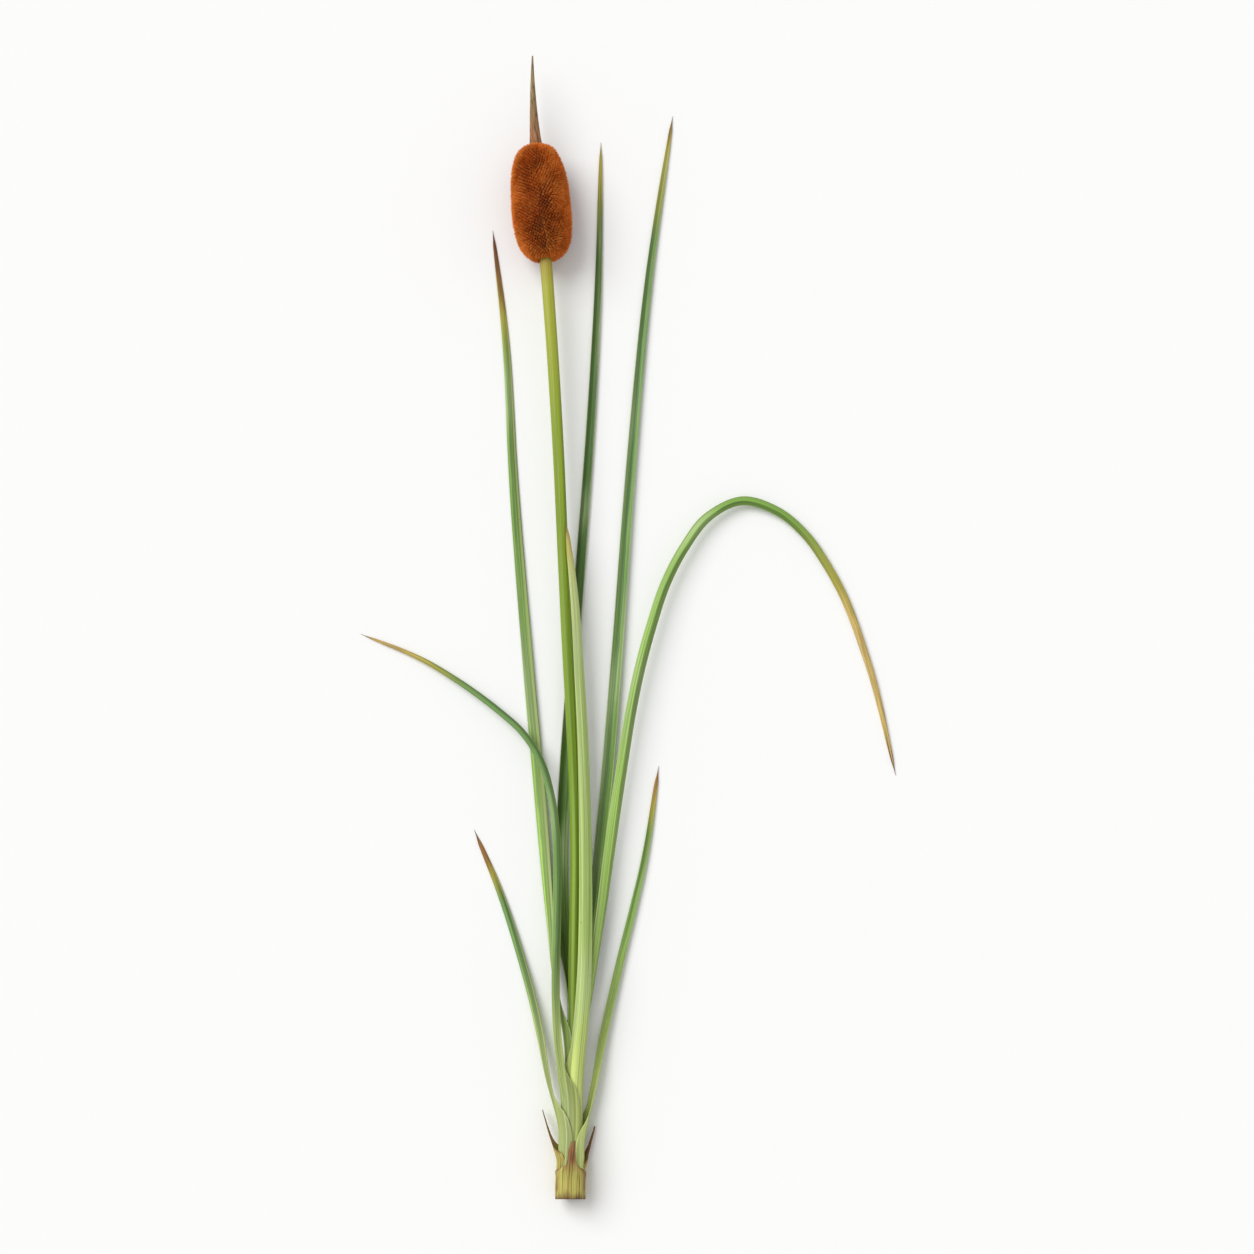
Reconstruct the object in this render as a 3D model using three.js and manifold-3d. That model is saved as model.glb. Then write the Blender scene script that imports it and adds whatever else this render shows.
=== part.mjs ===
// One flowering stalk of a dwarf cattail with the leaves that sheathe its foot, cut off square at
// the ground and lying on its side on a flat surface.
// Millimetres. +Y runs from the cut to the tip, +X to the right and +Z up from the surface at z = 0.
import * as THREE from "three";
import { mergeVertices } from "three/addons/utils/BufferGeometryUtils.js";
import Module from "manifold-3d";

// Stem
const STEM_FOOT_RADIUS = 1.9;
const STEM_TOP_RADIUS = 1.95;
const STEM_WAIST = 0.22; // how much slimmer it is in the middle
const AXIS_HEIGHT = 4.9; // of the stem's centre over the surface, at the cut
const AXIS_SLOPE = new THREE.Vector2(0.012, 0.009); // the foot's drift in x and z for each mm of y
const STRAIGHT_FOOT = [0, 22, 44, 66, 88]; // stations in y where the stem is still straight
const STEM_BEND = [
  [1.1, 112, 5.8],
  [0.1, 140, 6.2],
  [-1.7, 172, 6.7],
  [-3.4, 207, 7.3],
  [-4.5, 230, 7.7],
  [-5.8, 252, 8.2],
  [-7.3, 274, 8.8],
  [-8.9, 294.8, 9.35],
];
const STEM_RINGS = 18;

// The spike of seeds, and the bare spire over it that carried the pollen flowers
const SPIKE_CENTRE = new THREE.Vector3(-10.6, 314.2, 9.5);
const SPIKE_LENGTH = 39.6;
const SPIKE_RADIUS = 9.7;
const SPIKE_TAPER = 0.05; // share by which the radius falls from the middle to the upper end
const SPIKE_ROUNDNESS = 2.8; // exponent of its superellipse outline
const SPIKE_SIDES = 28;
const SPIKE_STEPS = 16;
const DIMPLE_DEPTH = 1.3; // at both ends, around the stem and the spire
const SPIRE_LENGTH = 31;
const SPIRE_RADIUS = 2.1;
const SPIRE_TIP_RADIUS = 0.25;
const SPIRE_SIDES = 12;
const SPIRE_BEND = 1.4; // how far its tip drifts sideways
const SPIRE_GAP = 0.3; // between its base and the bottom of the dimple

// Sheaths: every radius lies on the same rays from the stem's centre, so they nest without touching
const RAYS = 16;
const RAY_ANGLE = (2 * Math.PI) / RAYS;
const SHEATH_GAP = 0.12;
const SHEATH_KEEL = 0.5; // thickness down the back of a sheath
const SHEATH_EDGE = 0.14; // and at its two margins
const FOOT_SWELL = 1.06; // the sheaths are this much wider at the cut
const SWELL_FALL = 0.0016; // and narrow by this share for each mm of y
const OPENING = 16; // length over which a sheath flattens out into its blade
const OPENING_RINGS = 5;

// Blades
const BLADE_THICKNESS = 0.75;
const BLADE_EDGE = 0.3; // share of that thickness left at the margins
const BLADE_ARCH = 1.5; // radius of a blade's hollow side, in blade widths
const TAPER = 0.5; // share of its width that a blade loses on its way to the tip
const TIP_POWER = 10; // the higher, the shorter the point of the tip
const TIP_SHARE = 0.12; // of the width left at the very tip
const RING_CROWDING = 1.4; // over 1, the rings come closer together towards the tip

// Leaves from the innermost to the outermost. ray is the side that the sheath's back faces, counted
// clockwise from the top, mouth the y where the sheath opens, and path the blade's points after the
// mouth: x, y and the clearance of its lower edge over the surface. turn is the ray that the
// blade's back faces at the mouth, at turnBy of its length, and at the tip.
const LEAVES = [
  {
    name: "leaf_back", color: 0x4f7426,
    ray: 9, mouth: 62, width: 4.2, rings: 13,
    path: [
      [-2.4, 80, 0.3], [-3.2, 110, 0], [-1.4, 145, 0], [2.2, 195, 0], [5.6, 245, 0], [7.9, 293, 0],
      [8.6, 338, 0],
    ],
    turn: [9, 8.2, 7.8], turnBy: 0.2,
  },
  {
    name: "leaf_right_long", color: 0x6d9150,
    ray: 5, mouth: 56, width: 4.6, rings: 14,
    path: [
      [5.6, 76, 1.6], [8.0, 98, 0.6], [10.6, 124, 0], [14.2, 170, 0], [18.5, 230, 0], [24, 290, 0],
      [32, 347, 0],
    ],
    turn: [5, 7.2, 8.1], turnBy: 0.3,
  },
  {
    name: "leaf_left_long", color: 0x86a85c,
    ray: 12, mouth: 47, width: 4.4, rings: 14,
    path: [
      [-5.3, 67, 2.6], [-7.4, 90, 1.0], [-9.6, 118, 0.1], [-12.7, 150, 0], [-18.8, 221, 0],
      [-21.8, 270, 0], [-26.4, 308, 0],
    ],
    turn: [12, 15.2, 16.6], turnBy: 0.3,
  },
  {
    name: "leaf_right_arching", color: 0x84a658,
    ray: 3, mouth: 42, width: 4.4, rings: 24,
    path: [
      [6.2, 64, 3.9], [9.4, 86, 3.2], [14.2, 122, 4.0], [22, 166, 4.8], [34, 200, 4.0],
      [50, 217, 2.6], [67, 213, 1.3], [82, 194, 0.5], [93, 165, 0.1], [101, 130, 0],
    ],
    turn: [3, 1.0, -0.9], turnBy: 0.3,
  },
  {
    name: "leaf_front", color: 0xa4bc70,
    ray: 1, mouth: 36, width: 5.2, rings: 14,
    path: [
      [3.9, 60, 8.3], [4.6, 84, 7.2], [4.4, 110, 6.4], [3.6, 138, 6.2], [2.3, 162, 7.0],
      [0.6, 186, 8.3], [-2.1, 209.5, 9.1],
    ],
    turn: [1, 0.9, 0.5], turnBy: 0.5,
  },
  {
    name: "leaf_left_arching", color: 0x6c8f4e,
    ray: 14, mouth: 29, width: 3.2, rings: 16,
    path: [
      [-4.4, 50, 7.6], [-4.8, 72, 6.4], [-4.4, 94, 6.1], [-5.2, 114, 5.7], [-8.6, 131, 5.0],
      [-14.8, 142, 4.2], [-25, 151.5, 2.8], [-38, 161, 1.4], [-49, 167.5, 0.6], [-67, 175, 0],
    ],
    turn: [14, 15.4, 16.8], turnBy: 0.35,
  },
  {
    name: "leaf_left_short", color: 0x708f46,
    ray: 12, mouth: 21, width: 3.4, rings: 9,
    path: [[-7.4, 37, 3.0], [-10.4, 53, 1.2], [-15.4, 72, 0.1], [-22.2, 93, 0], [-30.5, 113, 0]],
    turn: [12, 14.6, 16.3], turnBy: 0.4,
  },
  {
    name: "leaf_right_short", color: 0x7c9c4c,
    ray: 5, mouth: 17, width: 3.4, rings: 9,
    path: [[7.0, 33, 1.4], [10.2, 50, 0.5], [15.8, 75, 0], [22.6, 104, 0], [27.0, 133, 0]],
    turn: [5, 6.8, 8.3], turnBy: 0.4,
  },
];

// Dry husks outside the sheaths: the remains of the first leaves, torn off short
const HUSKS = [
  {
    name: "husk_left", color: 0xa98b5c,
    ray: 11, mouth: 12, width: 4.4, rings: 4,
    path: [[-6.4, 19, 1.5], [-8.8, 27, 1.4]],
    turn: [11, 11.6, 12], turnBy: 0.5,
  },
  {
    name: "husk_right", color: 0x9c7c50,
    ray: 6, mouth: 9, width: 3.4, rings: 4,
    path: [[5.4, 15, 0.2], [7.4, 22, 0.1]],
    turn: [6, 5.2, 4.6], turnBy: 0.5,
  },
  {
    name: "husk_front", color: 0xb09a66,
    ray: 0, mouth: 6, width: 4.0, rings: 4,
    path: [[0.3, 11, 10.3], [0.9, 17.5, 10.9]],
    turn: [0, 0.2, 0.6], turnBy: 0.5,
  },
];
const HUSK_THICKNESS = 0.28;
const HUSK_OPENING = 7;
const HUSK_TIP_SHARE = 0.42; // of the width left where it is torn off

const STEM_LOOK = { color: 0x9cae42, roughness: 0.5 };
const SPIKE_LOOK = { color: 0x8a4a1c, roughness: 0.95 };
const SPIRE_LOOK = { color: 0x8c6448, roughness: 0.85 };
const LEAF_ROUGHNESS = 0.55;
const HUSK_ROUGHNESS = 0.9;

const ease = (t) => THREE.MathUtils.smoothstep(t, 0, 1);
const mix = THREE.MathUtils.lerp;

// The direction that a ray points in, around +Y: 0 is up and a quarter turn is to the right.
const rayDirection = (ray) =>
  new THREE.Vector3(Math.sin(ray * RAY_ANGLE), 0, Math.cos(ray * RAY_ANGLE));

// The stem's centre where it is still straight.
const footAxis = (y) => new THREE.Vector3(AXIS_SLOPE.x * y, y, AXIS_HEIGHT + AXIS_SLOPE.y * y);

// A closed skin over a row of rings with the same number of points, each square of it split along
// its shorter diagonal. Point j of a ring faces point n - 1 - j across its section, and the two end
// caps are laid between such pairs.
function loft(rings) {
  const count = rings[0].length;
  const points = rings.flat();
  const faces = [];
  for (let i = 0; i + 1 < rings.length; i++) {
    for (let j = 0; j < count; j++) {
      const [a, b] = [i * count + j, i * count + ((j + 1) % count)];
      const [c, d] = [a + count, b + count];
      const shorter = points[b].distanceTo(points[c]) <= points[a].distanceTo(points[d]);
      faces.push(...(shorter ? [a, b, c, b, d, c] : [a, b, d, a, d, c]));
    }
  }
  const last = (rings.length - 1) * count;
  for (let j = 0; j + 1 < count / 2; j++) {
    const [a, b, c, d] = [j, j + 1, count - 2 - j, count - 1 - j];
    faces.push(a, d, b);
    if (b !== c) faces.push(b, d, c);
    faces.push(last + a, last + b, last + d);
    if (b !== c) faces.push(last + b, last + c, last + d);
  }
  const geometry = new THREE.BufferGeometry();
  geometry.setFromPoints(points);
  geometry.setIndex(faces);
  geometry.computeVertexNormals();
  return geometry;
}

function namedMesh(name, geometry, look) {
  const mesh = new THREE.Mesh(geometry, new THREE.MeshStandardMaterial({ ...look, metalness: 0 }));
  mesh.name = name;
  return mesh;
}

const stemPath = new THREE.CatmullRomCurve3([
  ...STRAIGHT_FOOT.map(footAxis),
  ...STEM_BEND.map((point) => new THREE.Vector3(...point)),
]);

function stem() {
  const rings = [];
  for (let i = 0; i < STEM_RINGS; i++) {
    const share = i / (STEM_RINGS - 1);
    const centre = stemPath.getPointAt(share);
    const along = stemPath.getTangentAt(share);
    const waist = STEM_WAIST * Math.sin(Math.PI * share);
    const radius = mix(STEM_FOOT_RADIUS, STEM_TOP_RADIUS, share) - waist;
    const ring = [];
    for (let ray = 0; ray < RAYS; ray++) {
      const out = rayDirection(ray).addScaledVector(along, -rayDirection(ray).dot(along));
      if (i === 0) out.setY(0);
      ring.push(centre.clone().addScaledVector(out.normalize(), radius));
    }
    rings.push(ring);
  }
  return namedMesh("stem", loft(rings), STEM_LOOK);
}

// Puts a piece that is modelled along +Y on the spike's axis, at a distance from the spike's centre.
function onSpikeAxis(mesh, distance) {
  const top = stemPath.getPointAt(1);
  const axis = SPIKE_CENTRE.clone().sub(top).normalize();
  const holder = new THREE.Group();
  holder.position.copy(SPIKE_CENTRE).addScaledVector(axis, distance);
  holder.quaternion.setFromUnitVectors(new THREE.Vector3(0, 1, 0), axis);
  holder.add(mesh);
  return holder;
}

// The spike's outline from its lower end on the axis to its upper end on the axis.
function spikeOutline() {
  const half = SPIKE_LENGTH / 2;
  const points = [new THREE.Vector2(0, DIMPLE_DEPTH - half)];
  points.push(new THREE.Vector2(STEM_TOP_RADIUS, DIMPLE_DEPTH - half));
  for (let i = 0; i <= SPIKE_STEPS; i++) {
    const along = -Math.cos((Math.PI * (i + 0.8)) / (SPIKE_STEPS + 1.6));
    const round = (1 - Math.abs(along) ** SPIKE_ROUNDNESS) ** (1 / SPIKE_ROUNDNESS);
    points.push(new THREE.Vector2(SPIKE_RADIUS * (1 - SPIKE_TAPER * along) * round, half * along));
  }
  points.push(new THREE.Vector2(SPIRE_RADIUS, half - DIMPLE_DEPTH));
  points.push(new THREE.Vector2(0, half - DIMPLE_DEPTH));
  return points;
}

// The spike, with its underside pressed flat where it rests on the surface.
async function femaleSpike() {
  const wasm = await Module();
  wasm.setup();
  const holder = onSpikeAxis(new THREE.Mesh(new THREE.LatheGeometry(spikeOutline(), SPIKE_SIDES)), 0);
  holder.updateMatrixWorld(true);
  const placed = holder.children[0].geometry.clone().applyMatrix4(holder.matrixWorld);
  const room = SPIKE_LENGTH * 2;
  const above = new THREE.BoxGeometry(room, room, room);
  above.translate(SPIKE_CENTRE.x, SPIKE_CENTRE.y, room / 2);
  const cut = solidOf(wasm, placed).intersect(solidOf(wasm, above)).getMesh();
  const geometry = new THREE.BufferGeometry();
  geometry.setAttribute("position", new THREE.BufferAttribute(cut.vertProperties, 3));
  geometry.setIndex(new THREE.BufferAttribute(cut.triVerts, 1));
  geometry.computeVertexNormals();
  return namedMesh("female_spike", geometry, SPIKE_LOOK);
}

function solidOf(wasm, geometry) {
  const bare = new THREE.BufferGeometry();
  bare.setAttribute("position", geometry.getAttribute("position"));
  bare.setIndex(geometry.index);
  const merged = mergeVertices(bare, 1e-4);
  return new wasm.Manifold(
    new wasm.Mesh({
      numProp: 3,
      vertProperties: merged.attributes.position.array,
      triVerts: new Uint32Array(merged.index.array),
    }),
  );
}

// The bare spire: a cone with a slight bend, standing in the dimple at the spike's upper end.
function maleSpire() {
  const steps = 9;
  const rings = [];
  for (let i = 0; i <= steps; i++) {
    const share = i / steps;
    const radius = mix(SPIRE_RADIUS, SPIRE_TIP_RADIUS, share ** 0.8);
    const drift = SPIRE_BEND * share ** 2;
    const ring = [];
    for (let j = 0; j < SPIRE_SIDES; j++) {
      const angle = (2 * Math.PI * j) / SPIRE_SIDES;
      const [x, z] = [Math.sin(angle) * radius + drift, Math.cos(angle) * radius];
      ring.push(new THREE.Vector3(x, share * SPIRE_LENGTH, z));
    }
    rings.push(ring);
  }
  const mesh = namedMesh("male_spire", loft(rings), SPIRE_LOOK);
  return onSpikeAxis(mesh, SPIKE_LENGTH / 2 - DIMPLE_DEPTH + SPIRE_GAP);
}

// The sheath of a leaf around what is already there: for each ray across its back, from one margin
// to the other, how far its inner and outer faces lie from the stem's centre. stack holds the
// outer radius on every ray, and grows.
function wrapSheath(stack, ray, keel) {
  const halfWrap = RAYS / 4;
  const section = [];
  for (let step = -halfWrap; step <= halfWrap; step++) {
    const at = (((ray + step) % RAYS) + RAYS) % RAYS;
    const inner = stack[at] + SHEATH_GAP;
    const back = Math.cos((step / halfWrap) * (Math.PI / 2)) ** 2;
    const outer = inner + mix(SHEATH_EDGE, keel, back);
    stack[at] = outer;
    section.push({ angle: step * RAY_ANGLE, inner, outer });
  }
  return section;
}

// A blade's section: a shallow arch, thickest down its back. Every section is a row of points
// (towards the back, across): along the outer face, and back along the inner one.
function bladeShape(points, width, thickness) {
  const arch = width * BLADE_ARCH;
  const face = (side) => {
    const row = [];
    for (let j = 0; j < points; j++) {
      const across = (2 * j) / (points - 1) - 1;
      const angle = (across * width) / 2 / arch;
      const radius = arch + (side * thickness * mix(1, BLADE_EDGE, across ** 2)) / 2;
      row.push(new THREE.Vector2(Math.cos(angle) * radius - arch, Math.sin(angle) * radius));
    }
    return row;
  };
  return [...face(1), ...face(-1).reverse()];
}

// A sheath's section around the stem's centre, drawn in to a share of its wrap, and thickened by a
// share of the way to a blade's thickness.
function sheathShape(section, y, wrap, thicker, thickness) {
  const swell = FOOT_SWELL - SWELL_FALL * y;
  const half = (section.length - 1) / 2;
  const outer = [];
  const inner = [];
  section.forEach((sample, j) => {
    const step = half + (j - half) * wrap;
    const before = section[Math.floor(step)];
    const after = section[Math.ceil(step)];
    const radius = mix(before.inner, after.inner, step % 1);
    const blade = thickness * mix(1, BLADE_EDGE, ((j - half) / half) ** 2);
    const deep = mix(sample.outer - sample.inner, blade, thicker);
    const angle = (step - half) * RAY_ANGLE;
    const direction = new THREE.Vector2(Math.cos(angle), Math.sin(angle)).multiplyScalar(swell);
    outer.push(direction.clone().multiplyScalar(radius + deep));
    inner.push(direction.clone().multiplyScalar(radius));
  });
  return [...outer, ...inner.reverse()];
}

// How far the middle of a blade's back lies over its lowest edge, when its back faces a ray.
function lowerEdge(ray, width, thickness) {
  const tilt = ray * RAY_ANGLE;
  const arch = width * BLADE_ARCH;
  const hollow = arch * (1 - Math.cos(width / 2 / arch));
  const edge = (Math.abs(Math.cos(tilt)) * thickness) / 2;
  return Math.abs(Math.sin(tilt)) * (width / 2) + Math.max(0, Math.cos(tilt)) * hollow + edge;
}

// A leaf or a husk: a sheath that wraps half of the foot, and a blade that grows out of its mouth.
function leaf(spec, stack, { keel, thickness, opening, tipShare, roughness }) {
  const section = wrapSheath(stack, spec.ray, keel);
  const out = rayDirection(spec.ray);
  const across = rayDirection(spec.ray + RAYS / 4);
  const back = section[(section.length - 1) / 2].inner + thickness / 2;
  const backAt = (y) => footAxis(y).addScaledVector(out, back * (FOOT_SWELL - SWELL_FALL * y));

  const rings = [];
  for (const y of [0, spec.mouth / 2, spec.mouth]) {
    const place = (p) => footAxis(y).addScaledVector(out, p.x).addScaledVector(across, p.y);
    rings.push(sheathShape(section, y, 1, 0, thickness).map(place));
  }

  // The blade's line starts a little before the mouth, so that it leaves in the sheath's direction.
  const drop = new THREE.Vector3(0, 0, lowerEdge(spec.turn[0], spec.width, thickness));
  const line = new THREE.CatmullRomCurve3([
    backAt(spec.mouth - opening / 2).sub(drop),
    backAt(spec.mouth).sub(drop),
    ...spec.path.map((point) => new THREE.Vector3(...point)),
  ]);
  line.arcLengthDivisions = 400;
  const whole = line.getLength();
  const length = whole - opening / 2;
  const wrapOfBlade = spec.width / 2 / back / (Math.PI / 2);
  for (let i = 1; i <= OPENING_RINGS + spec.rings; i++) {
    const distance =
      i <= OPENING_RINGS
        ? (opening * i) / OPENING_RINGS
        : mix(length, opening, (1 - (i - OPENING_RINGS) / spec.rings) ** RING_CROWDING);
    const share = distance / length;
    const t = (opening / 2 + distance) / whole;
    const taper = Math.max(tipShare, (1 - TAPER * share) * Math.sqrt(1 - share ** TIP_POWER));
    const width = spec.width * taper;
    const deep = thickness * mix(0.5, 1, taper);
    const ray =
      share < spec.turnBy
        ? mix(spec.turn[0], spec.turn[1], ease(share / spec.turnBy))
        : mix(spec.turn[1], spec.turn[2], (share - spec.turnBy) / (1 - spec.turnBy));
    const centre = line.getPointAt(t);
    centre.z += lowerEdge(ray, width, deep);
    const along = line.getTangentAt(t);
    const facing = rayDirection(ray);
    facing.addScaledVector(along, -facing.dot(along)).normalize();
    const side = along.clone().cross(facing);
    const narrowed = ease(distance / (opening * 0.7));
    const flattened = ease((distance / opening - 0.3) / 0.7);
    const wrapped = sheathShape(section, spec.mouth, mix(1, wrapOfBlade, narrowed), narrowed, thickness);
    const start = back * (FOOT_SWELL - SWELL_FALL * spec.mouth);
    rings.push(
      bladeShape(section.length, width, deep).map((p, j) => {
        const towards = mix(wrapped[j].x - start, p.x, flattened);
        const sideways = mix(wrapped[j].y, p.y, flattened);
        return centre.clone().addScaledVector(facing, towards).addScaledVector(side, sideways);
      }),
    );
  }
  return namedMesh(spec.name, loft(rings), { color: spec.color, roughness });
}

const stack = new Array(RAYS).fill(STEM_FOOT_RADIUS);
const stalk = new THREE.Group();
stalk.add(stem(), await femaleSpike(), maleSpire());
const blade = {
  keel: SHEATH_KEEL,
  thickness: BLADE_THICKNESS,
  opening: OPENING,
  tipShare: TIP_SHARE,
  roughness: LEAF_ROUGHNESS,
};
for (const spec of LEAVES) stalk.add(leaf(spec, stack, blade));
const husk = {
  keel: HUSK_THICKNESS,
  thickness: HUSK_THICKNESS,
  opening: HUSK_OPENING,
  tipShare: HUSK_TIP_SHARE,
  roughness: HUSK_ROUGHNESS,
};
for (const spec of HUSKS) stalk.add(leaf(spec, stack, husk));

// The origin is in the middle of what the stalk covers, on the surface.
const cover = new THREE.Box3().setFromObject(stalk, true);
const middle = cover.getCenter(new THREE.Vector3());
stalk.position.set(-middle.x, -middle.y, 0);

export default stalk;
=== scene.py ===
"""The looks of a dwarf cattail's flowering stalk, lying on a pale surface and seen from above.

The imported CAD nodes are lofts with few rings. The stem, spire, leaves and husks are drawn again as
fine meshes through the same rings, and the spike as a coat of bristles on a dark core. Lengths are
in metres, and in millimetres where a name ends in _mm. +Y runs from the cut foot to the tip.
"""

import math

import bpy
import numpy as np
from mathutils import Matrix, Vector


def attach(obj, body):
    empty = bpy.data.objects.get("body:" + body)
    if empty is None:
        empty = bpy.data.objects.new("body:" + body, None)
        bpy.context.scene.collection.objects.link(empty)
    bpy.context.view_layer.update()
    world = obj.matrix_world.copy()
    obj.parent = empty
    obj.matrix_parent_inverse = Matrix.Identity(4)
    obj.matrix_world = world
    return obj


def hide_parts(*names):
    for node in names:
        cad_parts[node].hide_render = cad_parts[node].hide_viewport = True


MM = 0.001
STEM_SIDES = 16  # points around one CAD ring of the stem
SPIRE_SIDES = 12  # of the spire
LEAF_POINTS = 18  # and of a leaf or a husk, over both of its faces
ROW_STEP_MM = 1.6  # between the rows of a fine mesh
TORN_STEP_MM = 0.6  # the same on a husk
LEAF_ACROSS = 19  # points across one face of a fine leaf
SHEATH_RINGS = 5  # a leaf's CAD rings before its blade begins to take its own shape
OPENING_RINGS = 4  # rings over which it does
BLADE_FOLD = 0.3  # how deep a blade is folded, as a share of half its width
POINT_MM = 5.0  # length over which a tip narrows to a point
POINT_SHARE = 0.15  # of its width left at the very tip
TORN_MM = 2.5  # how deep the torn end of a husk is notched
HUSK_TEAR = 0.35  # how deep its margins are torn, as a share of half its width
ROWS_PER_TEAR = 5  # rows between the tears in its margins
BURIED_MM = 3.0  # how far the stem and the spire go on inside the spike
FLIPPED_PENALTY = 100  # larger than any misfit between a sheath's two faces

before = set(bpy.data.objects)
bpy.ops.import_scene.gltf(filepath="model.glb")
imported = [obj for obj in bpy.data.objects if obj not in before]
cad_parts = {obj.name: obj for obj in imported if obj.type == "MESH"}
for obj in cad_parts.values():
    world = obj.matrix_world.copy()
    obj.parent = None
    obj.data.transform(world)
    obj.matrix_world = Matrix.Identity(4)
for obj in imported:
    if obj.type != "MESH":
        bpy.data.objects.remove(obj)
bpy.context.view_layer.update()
rng = np.random.default_rng(7)


# ---- The CAD lofts, read back ring by ring ----


def node_surface(node):
    """A CAD node's points, each of them once, and its triangles."""
    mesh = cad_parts[node].data
    corners = np.array([vertex.co for vertex in mesh.vertices])
    points, index = np.unique(np.round(corners, 6), axis=0, return_inverse=True)
    faces = np.array([face.vertices for face in mesh.polygons])
    return points, index.reshape(-1)[faces]


def rings_between(faces, start):
    """How many edges each point is away from the starting ring: the number of its ring."""
    hops = {point: 0 for point in start}
    neighbours = {}
    for face in faces.tolist():
        for point in face:
            neighbours.setdefault(point, set()).update(face)
    reached = list(start)
    for point in reached:
        for near in neighbours[point]:
            if near not in hops:
                hops[near] = hops[point] + 1
                reached.append(near)
    return hops


def ring_order(faces, hops, ring):
    """A ring's points in the order that the loft gave them, by its faces with the ring before it,
    or with the ring after it for the first one."""
    beside, backwards = (1, False) if ring == 0 else (ring - 1, True)
    following = {}
    for face in faces.tolist():
        inside = [hops[point] == ring for point in face]
        if sum(inside) == 2 and hops[face[inside.index(False)]] == beside:
            lone = inside.index(False)
            first, second = face[(lone + 1) % 3], face[(lone + 2) % 3]
            if backwards:
                first, second = second, first
            following[first] = second
    order = [min(following)]
    while len(order) < len(following):
        order.append(following[order[-1]])
    return order


def turned_to_match(ring, target):
    """The ring, started at the point that makes its shape lie best on the target's."""
    wanted = target - target.mean(axis=0)
    turned = [np.roll(ring, -start, axis=0) for start in range(len(ring))]
    misfits = [np.sum((shape - shape.mean(axis=0) - wanted) ** 2) for shape in turned]
    return turned[int(np.argmin(misfits))]


def loft_rings(node, points_per_ring, first_point=None):
    """The rings that a node was lofted through, from the cut end to the tip. first_point picks
    where the first ring starts, and the others follow it."""
    points, faces = node_surface(node)
    start = np.argsort(points[:, 1])[:points_per_ring].tolist()
    hops = rings_between(faces, start)
    rings = []
    for number in range(max(hops.values()) + 1):
        ring = points[ring_order(faces, hops, number)]
        if rings:
            ring = turned_to_match(ring, rings[-1])
        elif first_point:
            ring = first_point(ring)
        rings.append(ring)
    return np.array(rings)


def from_outer_margin(ring):
    """A sheath's cut ring, started at the margin where its outer face begins. The points of both
    faces lie on the same rays from foot_centre, the middle of the stem's cut end."""
    spokes = ring - foot_centre
    radii = np.linalg.norm(spokes, axis=1)
    rays = spokes / radii[:, None]
    half = len(ring) // 2

    def misfit(start):
        turned = np.roll(rays, -start, axis=0)
        lengths = np.roll(radii, -start)
        inside_out = lengths[:half].mean() < lengths[half:].mean()
        return np.sum((turned - turned[::-1]) ** 2) + FLIPPED_PENALTY * inside_out

    return np.roll(ring, -min(range(len(ring)), key=misfit), axis=0)


# ---- Fine meshes through the rings ----


def smooth_through(values, places, wanted):
    """Values at the wanted places, on smooth curves through the values at the given places."""
    steps = np.diff(places)
    column = (-1, *[1] * (values.ndim - 1))
    slopes = np.diff(values, axis=0) / steps.reshape(column)
    tangents = np.empty_like(values)
    tangents[0], tangents[-1] = slopes[0], slopes[-1]
    share = (steps[:-1] / (steps[:-1] + steps[1:])).reshape(column)
    tangents[1:-1] = slopes[:-1] * (1 - share) + slopes[1:] * share
    at = np.clip(np.searchsorted(places, wanted, side="right") - 1, 0, len(steps) - 1)
    width = steps[at].reshape(column)
    t = ((wanted - places[at]) / steps[at]).reshape(column)
    start = (1 + 2 * t) * (1 - t) ** 2 * values[at] + t * (1 - t) ** 2 * width * tangents[at]
    end = t**2 * (3 - 2 * t) * values[at + 1] + t**2 * (t - 1) * width * tangents[at + 1]
    return start + end


def finer_rows(rings, row_step=ROW_STEP_MM):
    """Rings at every row step, how far along each one lies in millimetres, and how many of the
    given rings it has passed."""
    centres = rings.mean(axis=1)
    lengths = np.linalg.norm(np.diff(centres, axis=0), axis=1) / MM
    places = np.concatenate([[0], np.cumsum(lengths)])
    wanted = np.linspace(0, places[-1], round(places[-1] / row_step) + 1)
    passed = np.interp(wanted, places, np.arange(len(rings)))
    return smooth_through(rings, places, wanted), wanted, passed


def smooth_across(rows, places, wanted):
    """Points at the wanted places across every row, on smooth curves through its points."""
    return smooth_through(rows.swapaxes(0, 1), places, wanted).swapaxes(0, 1)


def unit(vectors):
    return vectors / np.maximum(np.linalg.norm(vectors, axis=-1, keepdims=True), 1e-12)


def mesh_object(name, points, faces, materials, face_materials=None, uv=None, smooth=True):
    """A new mesh object. uv holds a pair for every point, for each layer by its name."""
    mesh = bpy.data.meshes.new(name)
    mesh.from_pydata(points.tolist(), [], faces)
    for material in materials:
        mesh.materials.append(material)
    if face_materials is not None:
        mesh.polygons.foreach_set("material_index", face_materials)
    mesh.polygons.foreach_set("use_smooth", [smooth] * len(mesh.polygons))
    if uv is not None:
        corners = np.empty(len(mesh.loops), dtype=int)
        mesh.loops.foreach_get("vertex_index", corners)
        for layer, pairs in uv.items():
            made = mesh.uv_layers.new(name=layer)
            made.uv.foreach_set("vector", pairs[corners].ravel())
    mesh.update()
    piece = bpy.data.objects.new(name, mesh)
    bpy.context.scene.collection.objects.link(piece)
    return piece


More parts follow.
